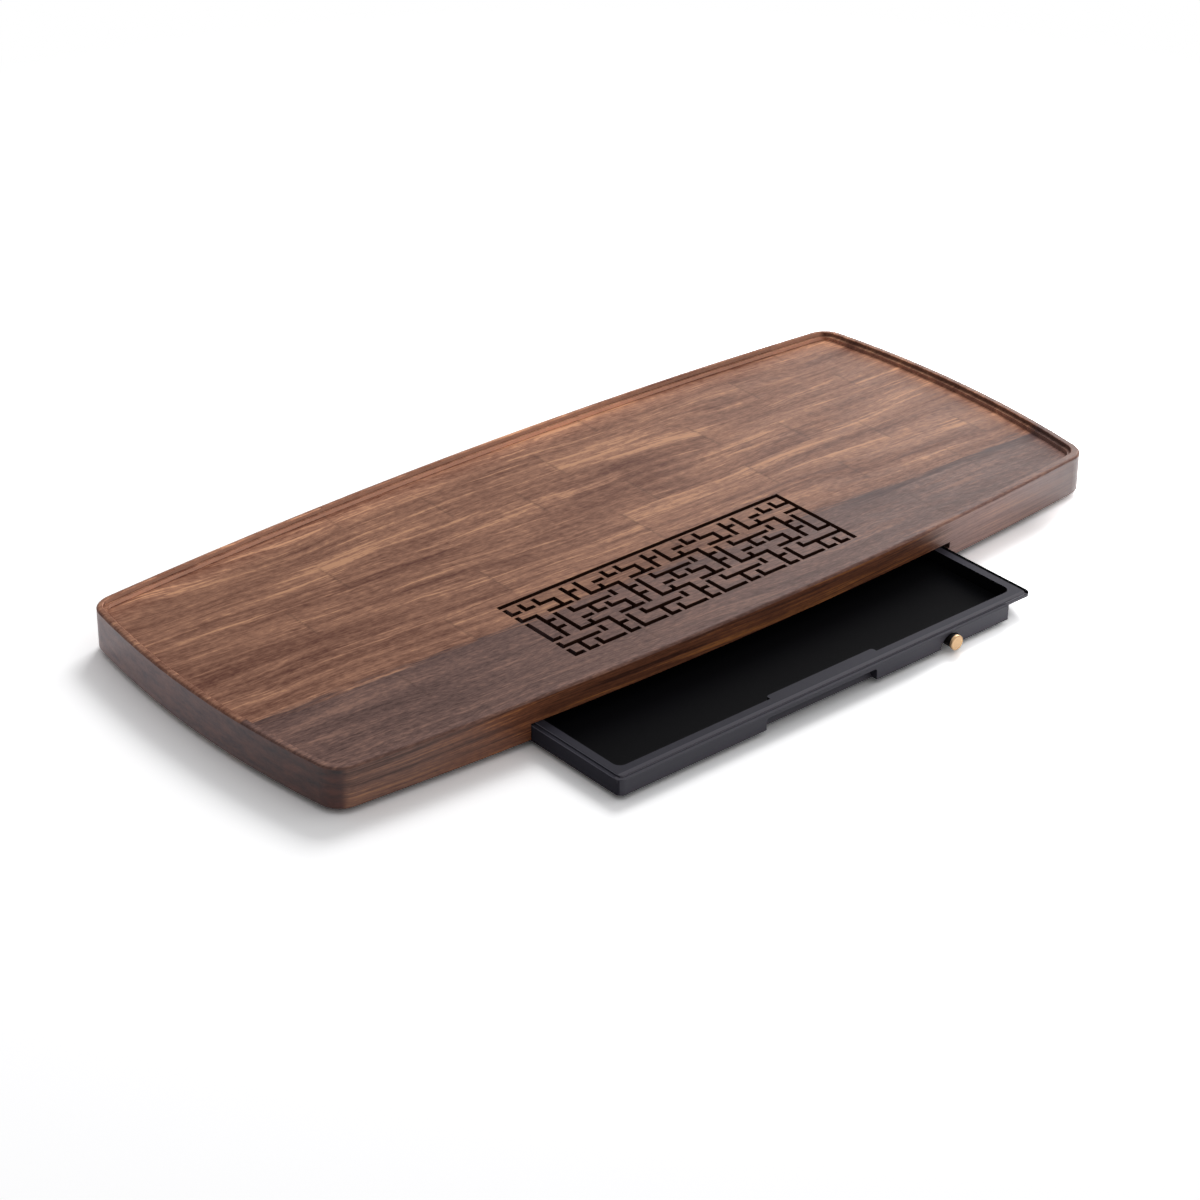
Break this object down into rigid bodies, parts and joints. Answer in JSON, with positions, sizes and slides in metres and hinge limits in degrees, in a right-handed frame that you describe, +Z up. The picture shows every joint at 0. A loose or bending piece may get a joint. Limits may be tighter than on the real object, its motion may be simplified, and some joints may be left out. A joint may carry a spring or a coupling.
{
  "type": "gongfu tea tray",
  "caption": "Milled bamboo tea tray with bowed sides, a stepped recess, a pierced lattice drain and a black water drawer that slides out at the front",
  "frame": {"origin": "on the surface it stands on, below the centre of its bounding box with the drawer pulled out by 74 mm, as it rests", "axes": "+X along the tray's length to the right seen from the drawer's side, +Y away from the drawer to the back, +Z up"},
  "size_m": [0.6, 0.3366, 0.0295],
  "materials": {
    "bamboo": "carbonised strand-woven bamboo, oiled satin, fine long streaks along the tray",
    "drawer_plastic": "black moulding, fine satin texture",
    "spigot_plastic": "black, smooth",
    "rubber": "matte black",
    "brass": "brushed",
    "black_steel": "black powder coat",
    "screw_steel": "zinc plated"
  },
  "bodies": {
    "tray": {"tray_board": "bamboo", "left_guide_strip": "black_steel", "guide_strip_screws": "screw_steel", "drawer_bumpers": "rubber", "rubber_feet": "rubber", "foot_washers": "screw_steel", "foot_screws": "screw_steel"},
    "water_drawer": {"drawer": "drawer_plastic", "drain_spigot": "spigot_plastic"},
    "drain_plug": {"plug_stopper": "rubber", "plug_cap": "brass"}
  },
  "joints": [
    {"name": "drawer_slide", "type": "slide", "parent": "tray", "child": "water_drawer", "axis": [0, -1, 0], "range_m": [-0.074, 0.026]},
    {"name": "plug_pull", "type": "slide", "parent": "water_drawer", "child": "drain_plug", "axis": [0, -1, 0], "range_m": [0, 0.012]}
  ]
}
